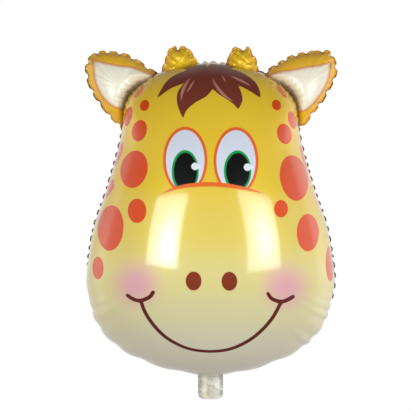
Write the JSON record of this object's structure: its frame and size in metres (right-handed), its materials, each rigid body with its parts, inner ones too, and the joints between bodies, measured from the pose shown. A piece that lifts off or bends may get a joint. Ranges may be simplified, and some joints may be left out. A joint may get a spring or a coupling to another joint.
{
  "type": "giraffe-head foil balloon",
  "caption": "Inflated foil balloon shaped as a giraffe's head with ears, horns, a printed face and a film filling valve at the chin, lying face up.",
  "frame": {"origin": "middle of the small flat that the back rests on, below the fullest point of the face", "axes": "+X to the right of the face as seen, +Y up the face from the chin to the horns, +Z out of the face"},
  "size_m": [0.5096, 0.7056, 0.32],
  "materials": {
    "front_print": "glossy metallised film, printed gold to cream with a giraffe's face",
    "back_print": "glossy metallised film, printed gold to cream with spots",
    "valve_film": "clear film, creased"
  },
  "bodies": {
    "root": {"front_foil": "front_print", "back_foil": "back_print", "filling_valve": "valve_film"}
  },
  "joints": []
}
